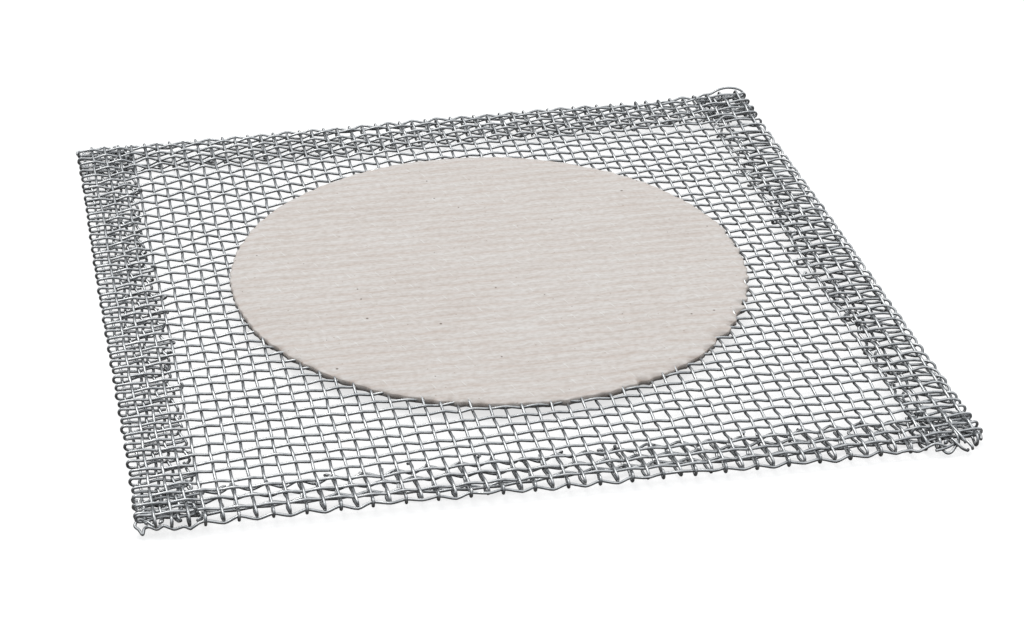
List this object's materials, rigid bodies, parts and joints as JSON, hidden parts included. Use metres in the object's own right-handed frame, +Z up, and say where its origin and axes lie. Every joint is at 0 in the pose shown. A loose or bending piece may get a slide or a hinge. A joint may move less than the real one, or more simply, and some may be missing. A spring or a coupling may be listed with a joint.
{
  "type": "wire gauze",
  "caption": "Square of woven steel wire with folded hems and a round ceramic centre, laid on a tripod to spread a burner's heat.",
  "frame": {"origin": "middle of the underside, on the surface that the folded hems rest on", "axes": "+Z up through the ceramic; warp wires run along Y and weft wires along X; front is -Y"},
  "size_m": [0.15, 0.1509, 0.0048],
  "materials": {
    "wire": "dull galvanised steel wire, a little darker in the gaps",
    "ceramic": "matte, pale warm grey, with the weave showing through as faint ribs"
  },
  "bodies": {
    "root": {"weft_wires_back_edge": "wire", "weft_wires_back": "wire", "weft_wires_back_middle": "wire", "weft_wires_front_middle": "wire", "weft_wires_front": "wire", "weft_wires_front_edge": "wire", "warp_wires_left_edge": "wire", "warp_wires_left": "wire", "warp_wires_left_middle": "wire", "warp_wires_right_middle": "wire", "warp_wires_right": "wire", "warp_wires_right_edge": "wire", "flap_warp_wires_left": "wire", "flap_warp_wires_right": "wire", "strip_weft_wires_back": "wire", "strip_weft_wires_front": "wire", "fold_weft_wire_back": "wire", "fold_weft_wire_front": "wire", "ceramic_cake": "ceramic"}
  },
  "joints": []
}
